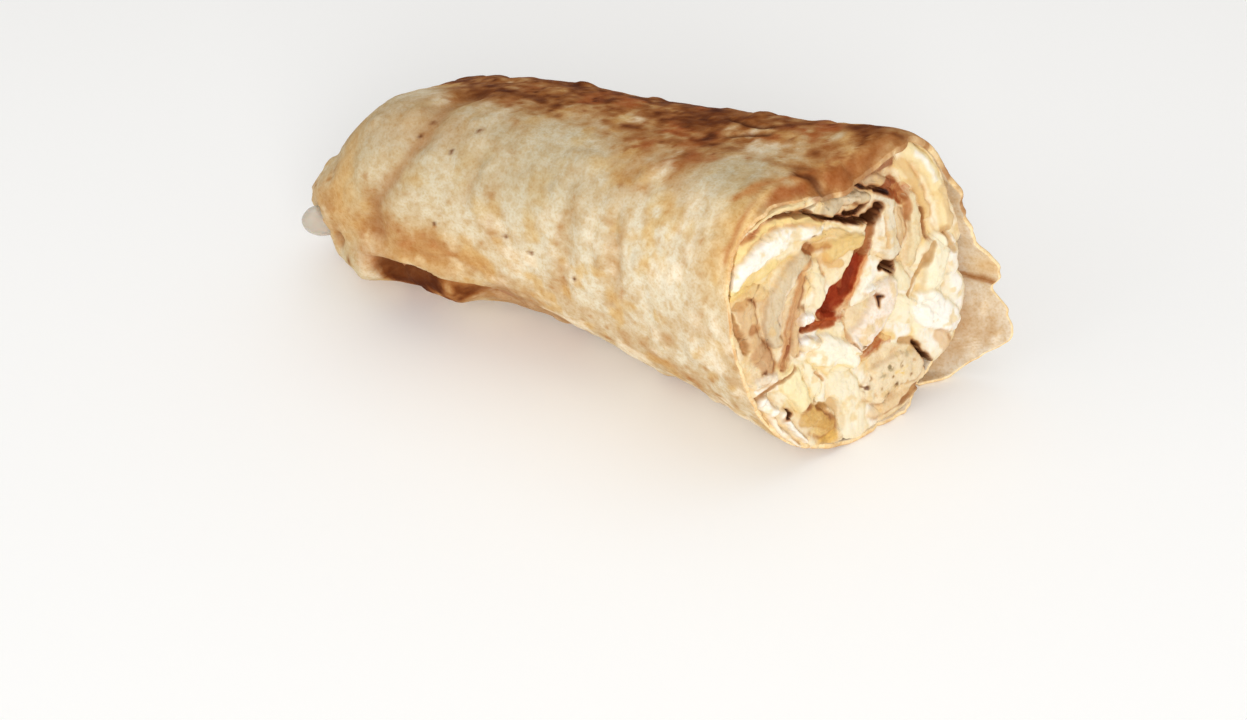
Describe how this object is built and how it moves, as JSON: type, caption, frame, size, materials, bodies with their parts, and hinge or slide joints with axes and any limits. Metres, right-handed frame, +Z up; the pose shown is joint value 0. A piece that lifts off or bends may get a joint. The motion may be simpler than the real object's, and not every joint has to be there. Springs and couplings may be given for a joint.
{
  "type": "half of a filled flatbread wrap",
  "caption": "Cut half of a rolled flatbread wrap, folded shut at one end, with meat, potato, pepper and sauce showing at the slanted cut.",
  "frame": {"origin": "below the middle of the part's box, on the surface it lies on", "axes": "+X along the wrap from the folded end to the cut end, +Z up"},
  "size_m": [0.1494, 0.055, 0.0561],
  "materials": {
    "bread": "matte",
    "chicken": "satin",
    "potato": "satin",
    "pepper": "satin",
    "sauce": "satin",
    "pickle": "satin"
  },
  "bodies": {
    "root": {"bread": "bread", "bread_crumb": "bread", "bread_rib": "bread", "bread_strip": "bread", "chicken_centre": "chicken", "chicken_curl": "chicken", "chicken_edge": "chicken", "chicken_left": "chicken", "chicken_left_inner": "chicken", "chicken_left_outer": "chicken", "chicken_left_rim": "chicken", "chicken_low_inner": "chicken", "chicken_low_outer": "chicken", "chicken_oval": "chicken", "chicken_speckled": "chicken", "chicken_upper": "chicken", "pepper_long": "pepper", "pepper_short": "pepper", "pepper_thin": "pepper", "pepper_upper": "pepper", "pickle_bit": "pickle", "pickle_leaf": "pickle", "potato_low": "potato", "potato_low_left": "potato", "potato_middle": "potato", "potato_right": "potato", "potato_rind": "potato", "potato_top": "potato", "potato_wedge": "potato", "sauce_bridge": "sauce", "sauce_centre": "sauce", "sauce_dollop": "sauce", "sauce_drop": "sauce", "sauce_left": "sauce", "sauce_low": "sauce", "sauce_right": "sauce", "sauce_rim": "sauce", "sauce_wedge": "sauce"}
  },
  "joints": []
}
